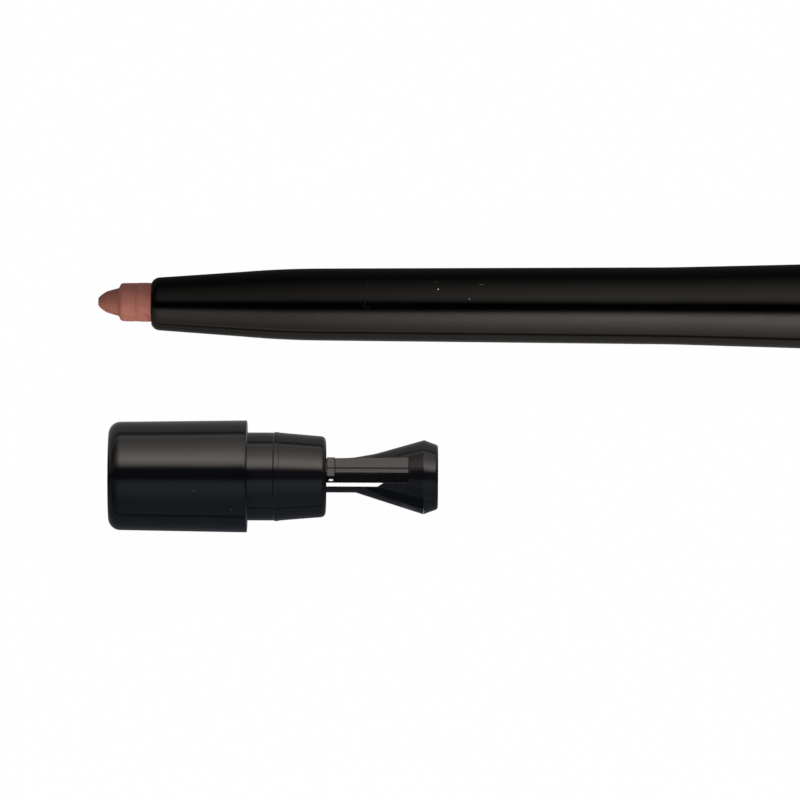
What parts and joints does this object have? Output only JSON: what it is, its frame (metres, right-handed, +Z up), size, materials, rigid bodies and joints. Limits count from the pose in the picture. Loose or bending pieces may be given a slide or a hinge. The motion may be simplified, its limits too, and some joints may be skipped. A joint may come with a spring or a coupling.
{
  "type": "retractable gel lip pencil with sharpener plug",
  "caption": "Slim black twist-up lip pencil with its soft gel lead out, lying beside its pulled-out tail plug, a rounded cap with a smoky sharpener funnel.",
  "frame": {"origin": "on the floor, under the middle of the bounding box of the pencil and its plug", "axes": "+X from the lead's tip towards the pencil's tail, +Y from the plug towards the pencil, +Z up"},
  "size_m": [0.1172, 0.027, 0.0107],
  "materials": {
    "barrel": "polished",
    "collar": "moulded gloss",
    "smoke": "smoky clear",
    "gel": "waxy satin",
    "natural": "natural moulding",
    "rubber": "soft",
    "steel": "sprung"
  },
  "bodies": {
    "front": {"front_barrel": "barrel", "guide_tube": "natural", "drag_ring": "rubber", "clip_ring": "steel"},
    "base": {"turning_sleeve": "barrel", "spiral_sleeve": "natural"},
    "carrier": {"gel_lead": "gel", "lead_cup": "natural", "piston_ring": "rubber", "push_rod": "natural"},
    "plug": {"end_cap": "barrel", "plug_collar": "collar", "sharpener": "smoke"}
  },
  "joints": [
    {"name": "base_twist", "type": "hinge", "parent": "front", "child": "base", "pos_m": [0.05849, 0.0082, 0.00533], "axis": [-0.9998, 0, -0.0197], "range_deg": [-360, 1440]},
    {"name": "lead_slide", "type": "slide", "parent": "front", "child": "carrier", "axis": [-0.9998, 0, -0.0197], "range_m": [-0.0056, 0.0224]},
    {"name": "plug_pull", "type": "slide", "parent": "front", "child": "plug", "axis": [-1, 0, 0], "range_m": [0, 0.035]}
  ],
  "couplings": [
    {"joint": "base_twist", "follows": "lead_slide", "rad_per_m": 1122}
  ]
}
